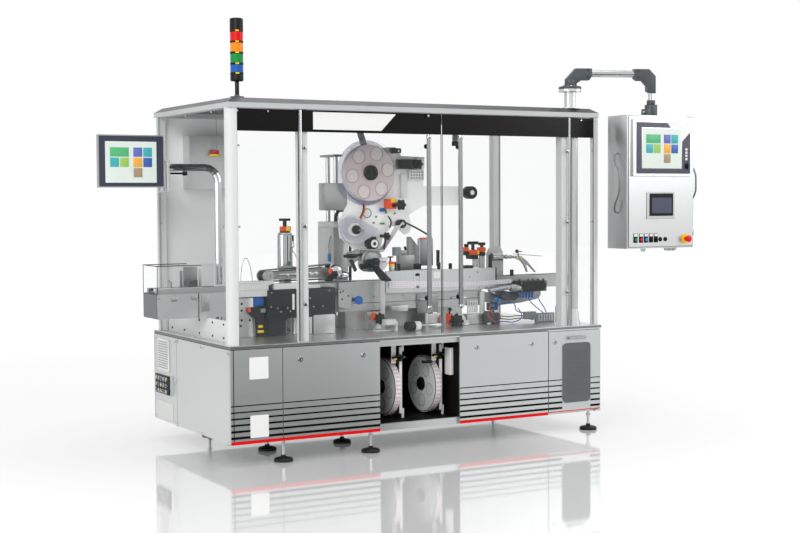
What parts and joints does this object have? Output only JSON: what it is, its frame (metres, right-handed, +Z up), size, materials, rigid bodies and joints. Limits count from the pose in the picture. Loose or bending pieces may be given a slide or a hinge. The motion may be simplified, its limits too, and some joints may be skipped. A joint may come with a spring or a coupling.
{
  "type": "labelling machine",
  "caption": "Stainless labelling machine: base cabinet with open reel bay, glazed guard with doors, label head over a conveyor, hanging control cabinet and side monitor.",
  "frame": {"origin": "centre of the front left levelling foot's underside, on the floor", "axes": "+X along the conveyor to the outfeed, +Y away from the operator, +Z up"},
  "size_m": [3.986, 1.5353, 2.676],
  "materials": {
    "anodised": "satin anodised",
    "belt": "dark belt",
    "black": "matt black",
    "chrome": "polished",
    "glazing": "clear polished sheet",
    "grey_casting": "dark grey cast",
    "label_roll": "label web under a clear disc",
    "lamp_lens": "stacked coloured lenses",
    "painted_frame": "pale grey satin",
    "stainless": "brushed stainless sheet",
    "white_plate": "satin white"
  },
  "bodies": {
    "machine": {"base_frame": "stainless", "deck_plate": "stainless", "front_panel_1": "stainless", "front_panel_2": "stainless", "front_panel_3": "stainless", "end_panel_left": "stainless", "connector_panel": "stainless", "end_panel_right": "stainless", "rear_panel": "stainless", "post_front_left": "painted_frame", "post_front_right": "painted_frame", "post_rear_left": "painted_frame", "post_rear_right": "painted_frame", "post_middle_left": "painted_frame", "post_middle_right": "painted_frame", "roof": "painted_frame", "front_pane_left": "glazing", "front_pane_right": "glazing", "end_pane_left": "glazing", "end_pane_right": "glazing", "rear_sheet": "painted_frame", "rear_pane": "glazing", "junction_box": "grey_casting", "signal_tower": "lamp_lens", "conveyor_belt": "belt", "conveyor_frame": "stainless", "infeed_trough": "stainless", "infeed_tunnel": "glazing", "screw_housing": "black", "hold_down_belt": "anodised", "height_adjuster": "chrome", "head_column": "anodised", "head_plate": "white_plate", "peel_bar": "black", "label_plate": "stainless", "outfeed_valve_box": "black", "unwind_plate_1": "white_plate", "unwind_plate_2": "white_plate", "monitor_tube": "chrome", "mast": "stainless"},
    "guard_door_left": {"guard_door_left_stile": "painted_frame", "guard_door_left_pane": "glazing", "guard_door_left_handle": "chrome"},
    "guard_door_right": {"guard_door_right_stile": "painted_frame", "guard_door_right_pane": "glazing", "guard_door_right_handle": "chrome"},
    "service_door": {"service_door_leaf": "stainless"},
    "swing_arm": {"swing_arm": "grey_casting"},
    "control_cabinet": {"control_cabinet": "stainless"},
    "monitor": {"monitor_housing": "anodised"},
    "label_reel": {"label_reel": "label_roll"},
    "rewind_reel": {"rewind_reel": "label_roll"},
    "unwind_reel_1": {"unwind_reel_1": "label_roll"},
    "unwind_reel_2": {"unwind_reel_2": "label_roll"}
  },
  "joints": [
    {"name": "guard_door_left_hinge", "type": "hinge", "parent": "machine", "child": "guard_door_left", "pos_m": [0.119, -0.028, 1.43185], "axis": [0, 0, -1], "range_deg": [0, 105]},
    {"name": "guard_door_right_hinge", "type": "hinge", "parent": "machine", "child": "guard_door_right", "pos_m": [2.127, -0.028, 1.43185], "axis": [0, 0, 1], "range_deg": [0, 105]},
    {"name": "service_door_hinge", "type": "hinge", "parent": "machine", "child": "service_door", "pos_m": [2.3715, -0.0425, 0.42], "axis": [0, 0, 1], "range_deg": [0, 110]},
    {"name": "arm_swivel", "type": "hinge", "parent": "machine", "child": "swing_arm", "pos_m": [2.1835, 0.04, 2.3313], "axis": [0, 0, 1], "range_deg": [-20, 45]},
    {"name": "cabinet_swivel", "type": "hinge", "parent": "swing_arm", "child": "control_cabinet", "pos_m": [2.71704, -0.16566, 2.2297], "axis": [0, 0, 1], "range_deg": [-60, 60]},
    {"name": "monitor_swivel", "type": "hinge", "parent": "machine", "child": "monitor", "pos_m": [-0.473, 0.75, 1.8], "axis": [0, 0, 1], "range_deg": [-30, 30]},
    {"name": "label_reel_spin", "type": "hinge", "parent": "machine", "child": "label_reel", "pos_m": [0.852, 0.5045, 1.768], "axis": [0, -1, 0], "continuous": true},
    {"name": "rewind_reel_spin", "type": "hinge", "parent": "machine", "child": "rewind_reel", "pos_m": [0.742, 0.5045, 1.392], "axis": [0, -1, 0], "continuous": true},
    {"name": "unwind_reel_1_spin", "type": "hinge", "parent": "machine", "child": "unwind_reel_1", "pos_m": [0.868, 0.24, 0.372], "axis": [-1, 0, 0], "continuous": true},
    {"name": "unwind_reel_2_spin", "type": "hinge", "parent": "machine", "child": "unwind_reel_2", "pos_m": [1.17, 0.24, 0.372], "axis": [-1, 0, 0], "continuous": true}
  ]
}
